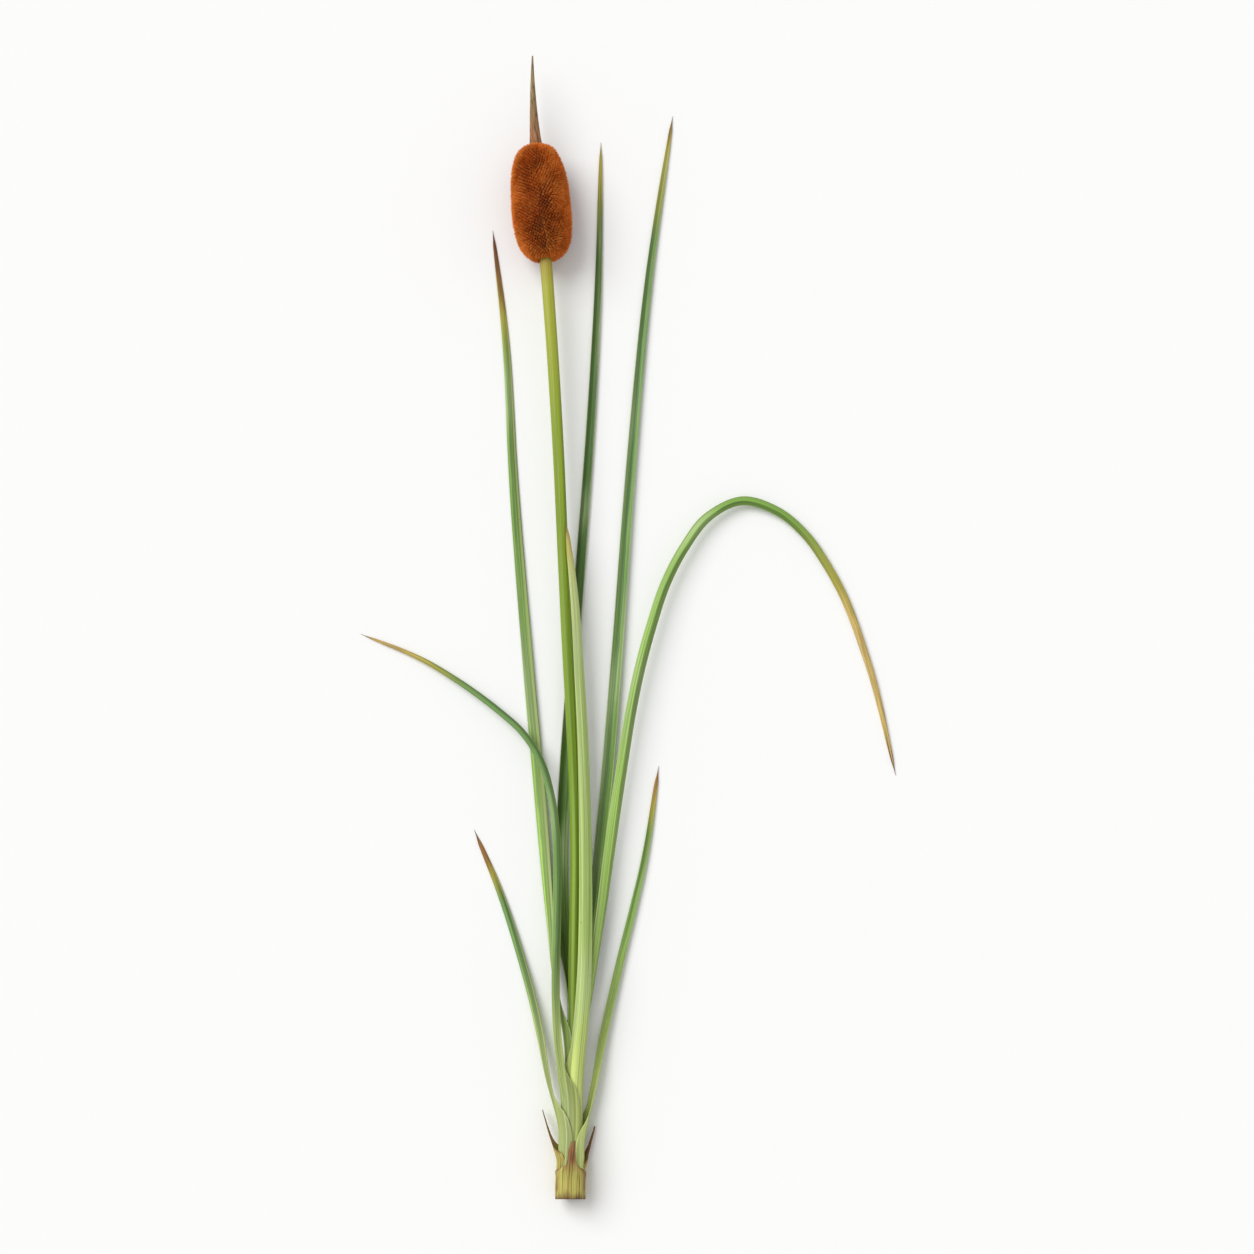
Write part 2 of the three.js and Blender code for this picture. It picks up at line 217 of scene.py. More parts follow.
def closed_loft(name, rows, across_mm, along_mm, materials):
    """A closed mesh over rows of points. Point j of a row faces point n - 1 - j across it, and the
    caps join such pairs. The cap at the cut takes the second material. The layer size_mm maps the
    mesh in millimetres, across and along, and share from -1 to 1 across and 0 to 1 along."""
    count = rows.shape[1]
    last = (len(rows) - 1) * count
    j = np.arange(count)
    around = np.stack([j, (j + 1) % count, (j + 1) % count + count, j + count], axis=1)
    sides = (around[None] + count * np.arange(len(rows) - 1)[:, None, None]).reshape(-1, 4)
    k = np.arange(count // 2 - 1)
    pairs = np.stack([k, count - 1 - k, count - 2 - k, k + 1], axis=1)
    faces = np.concatenate([sides, pairs, last + pairs[:, ::-1]]).tolist()
    kinds = [0] * len(sides) + [1] * len(pairs) + [0] * len(pairs)
    half_width = np.abs(across_mm).max(axis=1, keepdims=True)
    share = across_mm / np.maximum(half_width, 1e-6)
    uv = {
        "size_mm": np.stack([across_mm.ravel(), np.repeat(along_mm, count)], axis=1),
        "share": np.stack([share.ravel(), np.repeat(along_mm / along_mm[-1], count)], axis=1),
    }
    return mesh_object(name, rows.reshape(-1, 3), faces, materials, kinds, uv)


def finish_piece(piece, node):
    """The piece stands for a CAD node, which is hidden, and rides with the stalk."""
    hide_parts(node)
    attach(piece, "root")


# ---- Materials ----


def srgb(red, green, blue):
    """A colour given in the 0 to 255 of a screen, as the linear values that shaders take."""
    linear = []
    for value in (red, green, blue):
        share = value / 255
        linear.append(((share + 0.055) / 1.055) ** 2.4 if share > 0.04 else share / 12.92)
    return (*linear, 1)


class Nodes:
    """A material's node tree, with short calls for the nodes that the materials are made of."""

    def __init__(self, name):
        self.material = bpy.data.materials.new(name)
        self.material.use_nodes = True
        self.tree = self.material.node_tree
        self.shader = self.tree.nodes["Principled BSDF"]

    def add(self, kind, settings=None, **inputs):
        node = self.tree.nodes.new(kind)
        for key, value in (settings or {}).items():
            setattr(node, key, value)
        for key, value in inputs.items():
            self.put(node.inputs[key], value)
        return node

    def put(self, socket, value):
        if isinstance(value, bpy.types.NodeSocket):
            self.tree.links.new(value, socket)
        else:
            socket.default_value = value

    def math(self, operation, a, b=0.0):
        node = self.add("ShaderNodeMath", {"operation": operation})
        self.put(node.inputs[0], a)
        self.put(node.inputs[1], b)
        return node.outputs[0]

    def scaled(self, value, factor, start=0.0):
        """start + factor * value"""
        return self.math("ADD", start, self.math("MULTIPLY", value, factor))

    def between(self, value, low, high):
        """0 where the value is at low, 1 where it is at high, and smooth in between."""
        node = self.add("ShaderNodeMapRange", {"interpolation_type": "SMOOTHSTEP"}, Value=value)
        self.put(node.inputs["From Min"], low)
        self.put(node.inputs["From Max"], high)
        return node.outputs["Result"]

    def mix(self, share, a, b):
        node = self.add("ShaderNodeMix", {"data_type": "RGBA"}, Factor=share, A=a, B=b)
        return node.outputs["Result"]

    def tint(self, colour, value):
        """The colour times a grey value."""
        node = self.add("ShaderNodeVectorMath", {"operation": "SCALE"}, Scale=value)
        self.put(node.inputs[0], colour if isinstance(colour, bpy.types.NodeSocket) else colour[:3])
        return node.outputs[0]

    def uv(self, layer):
        """The two coordinates of a UV layer."""
        node = self.add("ShaderNodeUVMap", {"uv_map": layer})
        split = self.add("ShaderNodeSeparateXYZ", Vector=node.outputs[0])
        return split.outputs[0], split.outputs[1]

    def place(self):
        """The point on the object, in metres."""
        return self.add("ShaderNodeTexCoord").outputs["Object"]

    def noise(self, x, y, scale, seed, detail=3.0):
        """Noise over the point (x, y), stretched by a pair of scales."""
        x = self.math("MULTIPLY", x, scale[0])
        y = self.math("MULTIPLY", y, scale[1])
        place = self.add("ShaderNodeCombineXYZ", X=x, Y=y, Z=seed)
        node = self.add("ShaderNodeTexNoise", Vector=place.outputs[0], Scale=1.0, Detail=detail)
        return node.outputs["Fac"]

    def grain(self, scale, detail=3.0):
        """Noise over the point on the object."""
        node = self.add("ShaderNodeTexNoise", Vector=self.place(), Scale=scale, Detail=detail)
        return node.outputs["Fac"]

    def ramp(self, value, stops):
        """A colour that runs through stops: a screen colour for each place."""
        node = self.add("ShaderNodeValToRGB")
        elements = node.color_ramp.elements
        while len(elements) < len(stops):
            elements.new(0.5)
        for element, (place, colour) in zip(elements, stops.items()):
            element.position = place
            element.color = srgb(*colour)
        self.put(node.inputs[0], value)
        return node.outputs[0]

    def finish(self, colour, roughness, height, depth):
        """The material, with a bump as deep as depth, in metres, where the height is 1."""
        bump = self.add("ShaderNodeBump", Height=height, Distance=depth)
        self.put(self.shader.inputs["Base Color"], colour)
        self.put(self.shader.inputs["Roughness"], roughness)
        self.put(self.shader.inputs["Normal"], bump.outputs[0])
        return self.material


PLANT_GLOSS = 0.38  # specular level of green skin
PALE_SHEATH = srgb(198, 208, 122)
BLOOM = srgb(176, 194, 142)
MARGIN_HIGHLIGHT = srgb(196, 206, 140)
FLECK = srgb(120, 92, 46)
YELLOWED = srgb(178, 162, 58)
BROWN_TIP = srgb(98, 60, 40)
FOOT_STAIN = srgb(112, 80, 42)
CUT_STAIN = srgb(134, 98, 56)


def leaf_material(name, stops, dry_from, seed, dry, shade_split_at):
    """A leaf: colours along its length, ribs, pale and dark streaks, painted light and shade on the
    two halves beside its fold, a painted highlight along its margins, and a dry tip. stops holds a
    colour for shares of its length, dry_from is the share where the tip starts to dry out, dry its
    colour, and shade_split_at the place across, from -1 to 1, where the half painted lit meets the
    half painted in shade."""
    n = Nodes(name)
    across, along = n.uv("size_mm")
    side, share = n.uv("share")
    wander = n.math("SUBTRACT", n.noise(across, along, (0.5, 0.05), seed), 0.5)
    colour = n.ramp(n.scaled(wander, 0.12, share), stops)
    # Paler down the sheath
    pale = n.between(n.scaled(wander, 30.0, along), 88.0, 10.0)
    colour = n.mix(n.math("MULTIPLY", pale, 0.8), colour, PALE_SHEATH)
    # Bands with more bloom
    bands = n.between(n.noise(across, along, (0.12, 0.022), seed + 23, 1.0), 0.5, 0.72)
    colour = n.mix(n.math("MULTIPLY", bands, 0.45), colour, BLOOM)
    # Painted light and shade: the half on one side of the fold is painted lighter, as if lit, and
    # the other half is painted in shade
    shaded_half = n.between(n.scaled(wander, 1.2, side), shade_split_at - 0.12, shade_split_at + 0.12)
    colour = n.mix(shaded_half, n.tint(colour, 1.1), n.tint(colour, 0.74))
    # Broad streaks, narrow ones, and the ribs
    broad = n.noise(across, along, (0.8, 0.008), seed + 3)
    colour = n.mix(n.between(broad, 0.5, 0.7), colour, n.tint(colour, 1.22))
    colour = n.mix(n.between(broad, 0.5, 0.3), colour, n.tint(colour, 0.7))
    narrow = n.noise(across, along, (2.6, 0.015), seed + 4)
    colour = n.tint(colour, n.scaled(n.between(narrow, 0.36, 0.64), 0.44, 0.78))
    ribs = n.noise(across, along, (5.5, 0.02), seed + 5, 1.0)
    colour = n.tint(colour, n.scaled(ribs, 0.4, 0.8))
    # Painted highlight: a pale line along both margins, as light catching their edges
    margin = n.between(n.math("ABSOLUTE", side), 0.84, 0.97)
    colour = n.mix(n.math("MULTIPLY", margin, 0.5), colour, MARGIN_HIGHLIGHT)
    # Small brown flecks
    flecks = n.between(n.noise(across, along, (1.3, 0.35), seed + 8, 4.0), 0.69, 0.75)
    colour = n.mix(n.math("MULTIPLY", flecks, 0.6), colour, FLECK)
    # The dry tip, drawn out along the ribs, yellow before it and brown at its very end
    drawn = n.math("SUBTRACT", n.noise(across, along, (2.0, 0.04), seed + 11), 0.5)
    reach = n.scaled(drawn, 0.16, share)
    yellow = n.between(reach, dry_from - 0.07, dry_from + 0.02)
    colour = n.mix(n.math("MULTIPLY", yellow, 0.8), colour, YELLOWED)
    dried = n.between(reach, dry_from, dry_from + 0.06)
    patches = n.between(n.noise(across, along, (1.6, 0.1), seed + 13), 0.35, 0.65)
    tan = n.mix(patches, n.tint(srgb(*dry), 0.72), n.tint(srgb(*dry), 1.12))
    tan = n.mix(n.between(reach, 0.965, 1.0), tan, BROWN_TIP)
    colour = n.mix(dried, colour, tan)
    # Brown stains at the very foot
    stain = n.scaled(n.noise(across, along, (0.9, 0.25), seed + 17), 8.0, along)
    colour = n.mix(n.between(stain, 8.0, 4.0), colour, FOOT_STAIN)
    n.shader.inputs["Specular IOR Level"].default_value = PLANT_GLOSS
    rough = n.scaled(narrow, 0.16, n.scaled(dried, 0.4, 0.36))
    return n.finish(colour, rough, narrow, 0.00025)


def stem_material():
    """Smooth green skin with pale and dark streaks, yellower up to the spike."""
    n = Nodes("stem_skin")
    across, along = n.uv("size_mm")
    share = n.uv("share")[1]
    stops = {
        0.0: (196, 200, 120), 0.12: (128, 156, 44), 0.45: (116, 148, 22), 0.8: (134, 156, 34),
        0.96: (166, 168, 54), 1.0: (162, 132, 50),
    }
    colour = n.ramp(share, stops)
    streaks = n.noise(across, along, (0.7, 0.008), 2.0)
    colour = n.mix(n.between(streaks, 0.48, 0.68), colour, n.tint(colour, 1.25))
    colour = n.mix(n.between(streaks, 0.5, 0.32), colour, n.tint(colour, 0.72))
    lines = n.noise(across, along, (3.2, 0.02), 6.0, 1.0)
    colour = n.tint(colour, n.scaled(lines, 0.4, 0.8))
    n.shader.inputs["Specular IOR Level"].default_value = PLANT_GLOSS
    return n.finish(colour, n.scaled(lines, 0.16, 0.3), lines, 0.00012)


def cut_material():
    """The cut end: pale spongy tissue with round air spaces, painted darker at their middles as the
    shade inside them, and browning where it dries.
    """
    n = Nodes("cut_end")
    air_space_shade_and_depth = n.add("ShaderNodeTexVoronoi", Vector=n.place(), Scale=2600.0).outputs["Distance"]
    stain = n.grain(420.0)
    # Painted shade: the air spaces are darkest at their middles, as shade inside holes; the same
    # pattern sinks them by bump
    colour = n.ramp(air_space_shade_and_depth, {0.0: (120, 112, 62), 0.35: (196, 196, 136), 1.0: (226, 224, 176)})
    colour = n.mix(n.between(stain, 0.5, 0.68), colour, CUT_STAIN)
    return n.finish(colour, n.scaled(stain, 0.3, 0.6), air_space_shade_and_depth, 0.0002)


def spire_material():
    """Dry bark with a coarse grain, redder at its foot."""
    n = Nodes("spire_bark")
    across, along = n.uv("size_mm")
    share = n.uv("share")[1]
    stops = {0.0: (124, 76, 46), 0.2: (150, 104, 68), 0.55: (140, 116, 78), 1.0: (140, 126, 84)}
    colour = n.ramp(share, stops)
    grain = n.noise(across, along, (1.6, 0.25), 4.0)
    colour = n.mix(n.between(grain, 0.52, 0.66), colour, n.tint(colour, 1.4))
    colour = n.mix(n.between(grain, 0.48, 0.34), colour, n.tint(colour, 0.45))
    return n.finish(colour, n.scaled(grain, 0.25, 0.68), grain, 0.0005)


def husk_material():
    """Thin papery straw, still yellow lower down: fibres along it, brown margins, tip and foot."""
    n = Nodes("husk_paper")
    across, along = n.uv("size_mm")
    side, share = n.uv("share")
    fibres = n.noise(across, along, (2.6, 0.06), 1.0)
    patches = n.noise(across, along, (0.6, 0.12), 9.0)
    straw = {0.3: (128, 98, 42), 0.42: (172, 152, 72), 0.55: (184, 178, 88), 0.7: (200, 198, 118)}
    colour = n.ramp(fibres, straw)
    brown = n.ramp(fibres, {0.3: (84, 48, 28), 0.5: (142, 96, 56), 0.7: (186, 146, 96)})
    edge = n.between(n.scaled(patches, 1.1, n.math("ABSOLUTE", side)), 1.2, 1.5)
    tip = n.between(n.scaled(patches, 0.55, share), 0.7, 1.0)
    foot = n.between(n.scaled(patches, 6.0, along), 5.5, 2.5)
    colour = n.mix(n.math("MAXIMUM", edge, tip), colour, brown)
    colour = n.mix(foot, colour, n.tint(brown, 0.55))
    return n.finish(colour, n.scaled(fibres, 0.25, 0.66), fibres, 0.0004)


def bristle_material():
    """Bristles, dark where they grow and bright at their tips: partly their own colour, and partly a
    painted glow, as of light shining through the tips. Each has its own place across the map, and
    runs up it from root to tip."""
    n = Nodes("bristles")
    own, height = n.uv("bristle")
    # Partly the tips' own colour and partly painted glow: the tips are painted bright as if light
    # shone through them
    tip_colour_and_glow = n.mix(own, srgb(226, 116, 30), srgb(255, 170, 80))
    patches = n.between(n.grain(230.0, 2.0), 0.4, 0.62)
    tip_colour_and_glow = n.mix(patches, n.tint(tip_colour_and_glow, 0.88), tip_colour_and_glow)
    colour = n.mix(n.between(height, 0.0, 0.8), srgb(116, 50, 10), tip_colour_and_glow)
    n.put(n.shader.inputs["Base Color"], colour)
    n.put(n.shader.inputs["Roughness"], n.scaled(own, 0.2, 0.7))
    n.shader.inputs["Specular IOR Level"].default_value = 0.15
    n.shader.inputs["Sheen Weight"].default_value = 0.3
    n.shader.inputs["Sheen Roughness"].default_value = 0.4
    n.shader.inputs["Sheen Tint"].default_value = srgb(255, 170, 96)
    return n.material


def core_material():
    """The dark body under the bristles."""
    n = Nodes("spike_core")
    grain = n.grain(900.0)
    n.put(n.shader.inputs["Base Color"], n.ramp(grain, {0.3: (48, 22, 8), 0.7: (104, 52, 20)}))
    n.put(n.shader.inputs["Roughness"], n.scaled(grain, 0.3, 0.7))
    return n.material


# ---- The pieces ----


def fine_round(name, rings, materials):
    """The stem or the spire: rounder, and in closer rows, than the rings."""
    rows, along_mm, _ = finer_rows(rings)
    sides = rows.shape[1]
    wrapped = np.concatenate([rows[:, -2:], rows, rows[:, :3]], axis=1)
    rows = smooth_across(wrapped, np.arange(-2.0, sides + 3), np.arange(0, sides, 0.5))
    count = rows.shape[1]
    radius = np.linalg.norm(rows - rows.mean(axis=1, keepdims=True), axis=2).mean(axis=1)
    angle = (np.arange(count) / count - 0.5) * 2 * math.pi
    across_mm = angle[None] * radius[:, None] / MM
    return closed_loft(name, rows, across_mm, along_mm, materials)


def creased(outer, inner, fold):
    """Both faces folded along their middle, the margins towards the inner side. fold is the depth
    for each row, as a share of half its width. No row comes lower than it was."""
    share = np.linspace(-1, 1, outer.shape[1])
    middle = outer.shape[1] // 2
    back = unit(outer[:, middle] - inner[:, middle])
    half_width = np.linalg.norm(outer[:, -1] - outer[:, 0], axis=1) / 2
    bend = (0.5 - np.abs(share))[None, :, None] * back[:, None]
    push = (fold * half_width)[:, None, None] * bend
    low = np.minimum(outer[:, :, 2].min(axis=1), inner[:, :, 2].min(axis=1))
    outer, inner = outer + push, inner + push[:, ::-1]
    now = np.minimum(outer[:, :, 2].min(axis=1), inner[:, :, 2].min(axis=1))
    lift = np.maximum(low - now, 0)[:, None]
    outer[:, :, 2] += lift
    inner[:, :, 2] += lift
    return outer, inner


def pointed(faces, along_mm):
    """Both faces with a tip that runs out to a point."""
    centre = np.concatenate(faces, axis=1).mean(axis=1, keepdims=True)
    width = np.clip((along_mm[-1] - along_mm) / POINT_MM, POINT_SHARE, 1)[:, None, None]
    return [centre + (face - centre) * width for face in faces]


def torn_off(faces, along_mm):
    """Both faces with an end that is torn off unevenly: every strand of points ends somewhere
    short of the last row."""
    count = faces[0].shape[1]
    short_mm = TORN_MM * rng.uniform(0, 1, count) ** 1.5
    pulled_back = np.clip(1 - (along_mm[-1] - along_mm) / (3 * TORN_MM), 0, 1)
    places = along_mm[:, None] - pulled_back[:, None] * short_mm[None]
    torn = []
    for face, wanted in zip(faces, (places, places[:, ::-1])):
        moved = np.empty_like(face)
        for strand in range(count):
            for axis in range(3):
                ends = face[:, strand, axis]
                moved[:, strand, axis] = np.interp(wanted[:, strand], along_mm, ends)
        torn.append(moved)
    return torn


def ragged(outer, inner):
    """Both faces with margins that are torn in towards the middle."""
    share = np.linspace(-1, 1, outer.shape[1])[None, :, None]
    middle = outer.shape[1] // 2
    deepest = rng.uniform(0, 1, (len(outer) // ROWS_PER_TEAR + 2, 2)) ** 2
    row = np.arange(len(outer)) / ROWS_PER_TEAR
    tear = smooth_through(deepest, np.arange(float(len(deepest))), row)
    tear = HUSK_TEAR * np.clip(tear + rng.uniform(0, 0.1, tear.shape), 0, 1)
    left, right = tear[:, 0, None, None], tear[:, 1, None, None]
    keep = 1 - share**6 * np.where(share < 0, left, right)
    faces = []
    for face, kept in ((outer, keep), (inner, keep[:, ::-1])):
        spine = face[:, middle, None]
        faces.append(spine + (face - spine) * kept)
    return faces


def fine_leaf(name, rings, materials, fold=0.0, torn=False):
    """A leaf or husk through its CAD rings, with more points across both faces. A leaf is folded
    along its blade and runs out to a point, and a husk is torn."""
    rows, along_mm, passed = finer_rows(rings, TORN_STEP_MM if torn else ROW_STEP_MM)
    half = rows.shape[1] // 2
    wanted = np.linspace(0, half - 1, LEAF_ACROSS)
    faces = []
    for face in (rows[:, :half], rows[:, half:]):
        faces.append(smooth_across(face, np.arange(float(half)), wanted))
    blade = np.clip((passed - SHEATH_RINGS) / OPENING_RINGS, 0, 1)
    outer, inner = creased(*faces, fold * blade)
    steps = np.linalg.norm(np.diff(outer, axis=1), axis=2) / MM
    across_mm = np.concatenate([np.zeros((len(rows), 1)), np.cumsum(steps, axis=1)], axis=1)
    across_mm -= across_mm[:, -1:] / 2
    if torn:
        faces = torn_off(ragged(outer, inner), along_mm)
    else:
        faces = pointed((outer, inner), along_mm)
    across_mm = np.concatenate([across_mm, across_mm[:, ::-1]], axis=1)
    return closed_loft(name, np.concatenate(faces, axis=1), across_mm, along_mm, materials)


# Colours along a leaf, for shares of its length
GREENS = {
    "pale": {0.0: (164, 186, 88), 0.4: (160, 186, 98), 0.8: (166, 184, 112), 1.0: (186, 190, 128)},
    "fresh": {0.0: (150, 184, 78), 0.35: (146, 180, 86), 0.7: (114, 152, 64), 1.0: (118, 146, 62)},
    "blue": {0.0: (124, 158, 66), 0.35: (108, 144, 68), 0.75: (98, 136, 70), 1.0: (106, 134, 64)},
    "dark": {0.0: (98, 130, 40), 0.35: (70, 104, 30), 0.75: (64, 98, 34), 1.0: (86, 110, 42)},
}
# Each leaf's colours, the share of its length where it turns dry, the colour of its dry tip, and
# where across it the half painted lit ends and the half painted in shade begins
LEAF_LOOKS = {
    "leaf_back": ("dark", 0.97, (140, 108, 58), 0.3),
    "leaf_right_long": ("blue", 0.95, (158, 120, 66), -0.2),
    "leaf_left_long": ("fresh", 0.91, (132, 88, 50), 0.05),
    "leaf_right_arching": ("fresh", 0.8, (206, 178, 106), 0.2),
    "leaf_front": ("pale", 0.96, (206, 196, 146), 1.6),
    "leaf_left_arching": ("blue", 0.88, (204, 176, 104), 0.0),
    "leaf_left_short": ("blue", 0.86, (158, 114, 60), 0.1),
    "leaf_right_short": ("fresh", 0.9, (170, 130, 72), -0.1),
}

cut_end = cut_material()
stem_rings = loft_rings("stem", STEM_SIDES)
foot_centre = stem_rings[0].mean(axis=0)
spire_rings = loft_rings("male_spire", SPIRE_SIDES)
spike_axis = unit(spire_rings[0].mean(axis=0) - stem_rings[-1].mean(axis=0))
# Inside the bristles, both run on towards each other
stem_end = stem_rings[-1:] + BURIED_MM * MM * spike_axis
spire_end = spire_rings[:1] - BURIED_MM * MM * spike_axis
rings = np.concatenate([stem_rings, stem_end])
green_stem = fine_round("green_stem", rings, [stem_material(), cut_end])
finish_piece(green_stem, "stem")

spire_bark = spire_material()
rings = np.concatenate([spire_end, spire_rings])
dry_spire = fine_round("dry_spire", rings, [spire_bark, spire_bark])
finish_piece(dry_spire, "male_spire")

for number, (node, (greens, dry_from, dry, shade_split_at)) in enumerate(LEAF_LOOKS.items()):
    seed = 20.0 * number
    skin = leaf_material(f"{node}_skin", GREENS[greens], dry_from, seed, dry, shade_split_at)
    rings = loft_rings(node, LEAF_POINTS, from_outer_margin)
    leaf = fine_leaf(f"{node}_blade", rings, [skin, cut_end], fold=BLADE_FOLD)
    finish_piece(leaf, node)

husk_paper = husk_material()
for node in ("husk_left", "husk_right", "husk_front"):
    rings = loft_rings(node, LEAF_POINTS, from_outer_margin)
    husk = fine_leaf(f"{node}_paper", rings, [husk_paper, husk_paper], torn=True)
    finish_piece(husk, node)


# ---- The spike ----

BRISTLES = 60000
BRISTLE_MM = 1.6
BRISTLE_WIDTH_MM = 0.12  # from a bristle's middle to its edge, at its root
BRISTLE_CORNERS = (0, 2.1, 4.2)  # where around its middle the three corners of its root are
UNEVEN = 0.07  # by how much bristles differ in length, as a share
STRAY_LENGTH = 0.12  # by how much stray bristles are longer, as a share
STRAYS = 0.06  # the share of bristles that are strays
TUFTS = 2600
TUFT_PULL = 0.42  # how far the tips of a tuft draw together
TUFT_UNEVEN = 0.035  # by how much tufts differ in length, as a share
TUFT_SUNK_MM = 0.1  # how far under the outline a tuft's tips draw together
SCATTER_MM = 0.06  # how far each tip lies off that at random
SWIRL_MM = 0.3  # how far the tufts lean, in swirls
LOOSE_MM = 0.07  # how far each one leans at random
PARTING_MM = 1.3  # half the width of the parting along the top
PARTING_LEAN_MM = 0.25  # how far its bristles lean to either side
PARTING_DROP_MM = 0.4  # how much lower they lie
COAT_DIP_MM = 0.8  # how far the coat dips in around the stem and the spire
SAME_RING = 2e-5  # how close along the axis the points of one CAD ring are, in metres
RING_POINTS = 8  # fewer points than this in one place are not a whole CAD ring
LEAST_RING = 1.1  # narrower CAD rings, as a multiple of the spire's radius, belong to the dimples
CORE_SIDES = 48
CORE_ROWS = 44
ROOTS_MM = 0.25  # how deep the bristles stand in the core
TIPS_OVER_MM = 0.05  # how far tips stay over the surface that the spike lies on
ROOTS_OVER_MM = 0.02  # and their roots
CORE_OVER_MM = 0.3  # and the core


def spike_frame():
    """The spike's axis as a start and a direction, and its outline: distances along the axis and
    radii there, from the stem to the spire."""
    start = stem_rings[-1].mean(axis=0)
    stem_radius = np.linalg.norm(stem_rings[-1] - start, axis=1).mean()
    spire_radius = np.linalg.norm(spire_rings[0] - spire_rings[0].mean(axis=0), axis=1).mean()
    points = node_surface("female_spike")[0] - start
    along = points @ spike_axis
    radii = np.linalg.norm(points - along[:, None] * spike_axis, axis=1)
    outline = []
    for place in np.unique(np.round(along, 5)):
        ring = np.abs(along - place) < SAME_RING
        if ring.sum() > RING_POINTS and radii[ring].max() > LEAST_RING * spire_radius:
            outline.append((place, radii[ring].max()))
    lower = (outline[0][0] + COAT_DIP_MM * MM, stem_radius)
    upper = (outline[-1][0] - COAT_DIP_MM * MM, spire_radius)
    return start, spike_axis, np.array([lower, *outline, upper])


def spread_over(outline, count):
    """Points spread evenly over the surface of revolution of an outline: places along it, from 0
    to its number of steps, and angles."""
    middles = (outline[1:, 1] + outline[:-1, 1]) / 2
    lengths = np.linalg.norm(np.diff(outline, axis=0), axis=1)
    area = np.concatenate([[0], np.cumsum(middles * lengths)])
    wanted = (np.arange(count) + rng.uniform(0, 1, count)) / count * area[-1]
    golden = math.pi * (3 - math.sqrt(5))
    angles = (np.arange(count) * golden + rng.normal(0, 0.01, count)) % (2 * math.pi)
    return np.interp(wanted, area, np.arange(len(outline))), angles


def spike_points(spike, steps, angles, sunk):
    """Points and outward directions on the spike, sunk under its outline by a distance."""
    start, axis, outline = spike
    across = unit(np.cross(axis, [0, 0, 1]))
    up = np.cross(across, axis)
    index = np.arange(len(outline))
    along = np.interp(steps, index, outline[:, 0])
    radius = np.interp(steps, index, outline[:, 1])
    slope = np.gradient(outline, axis=0)
    steep = np.interp(steps, index, slope[:, 0])
    widening = np.interp(steps, index, slope[:, 1])
    radial = np.sin(angles)[:, None] * across + np.cos(angles)[:, None] * up
    normal = unit(steep[:, None] * radial - widening[:, None] * axis)
    return start + along[:, None] * axis + radius[:, None] * radial - normal * sunk, normal


def nearest(points, centres):
    """For each point, the number of the nearest centre. It goes part by part to save memory."""
    found = []
    for part in np.array_split(points, 30):
        gaps = ((part[:, None] - centres[None]) ** 2).sum(axis=2)
        found.append(gaps.argmin(axis=1))
    return np.concatenate(found)


def tuft_lean(axis, outline, steps, angles, normals):
    """How far each tuft leans from straight out: in swirls, but upright near the spike's ends."""
    last = len(outline) - 1
    along_mm = np.interp(steps, np.arange(last + 1), outline[:, 0]) / MM
    around = unit(np.cross(axis, normals))
    # Each wave turns a whole number of times around the spike, and slowly along it
    swirl_around = np.sin(2 * angles + 0.31 * along_mm)
    swirl_around += 0.6 * np.sin(5 * angles - 0.43 * along_mm)
    swirl_along = np.cos(3 * angles - 0.27 * along_mm)
    swirl_along += 0.6 * np.cos(4 * angles + 0.5 * along_mm)
    swirl = swirl_around[:, None] * around + swirl_along[:, None] * axis
    inland = np.clip(np.minimum(steps - 0.5, last - 0.5 - steps) / 3, 0, 1)
    return (SWIRL_MM * inland[:, None] * swirl + rng.normal(0, LOOSE_MM, (TUFTS, 3))) * MM


def parting_shift(axis, outline, steps, angles, normals):
    """How far the bristles along the top lean to either side and lie lower."""
    last = len(outline) - 1
    across = unit(np.cross(axis, [0, 0, 1]))
    radius_mm = np.interp(steps, np.arange(last + 1), outline[:, 1]) / MM
    off_mm = np.arctan2(np.sin(angles), np.cos(angles)) * radius_mm + 0.6 * np.sin(steps * 1.1)
    inland = np.clip(np.minimum(steps - 2, last - 2 - steps), 0, 1)
    depth = inland * np.exp(-((off_mm / PARTING_MM) ** 2)) * (0.5 + 0.5 * np.sin(steps * 2.3) ** 2)
    sideways = (np.sign(off_mm) * depth * PARTING_LEAN_MM * MM)[:, None] * across
    return sideways - (depth * PARTING_DROP_MM * MM)[:, None] * normals


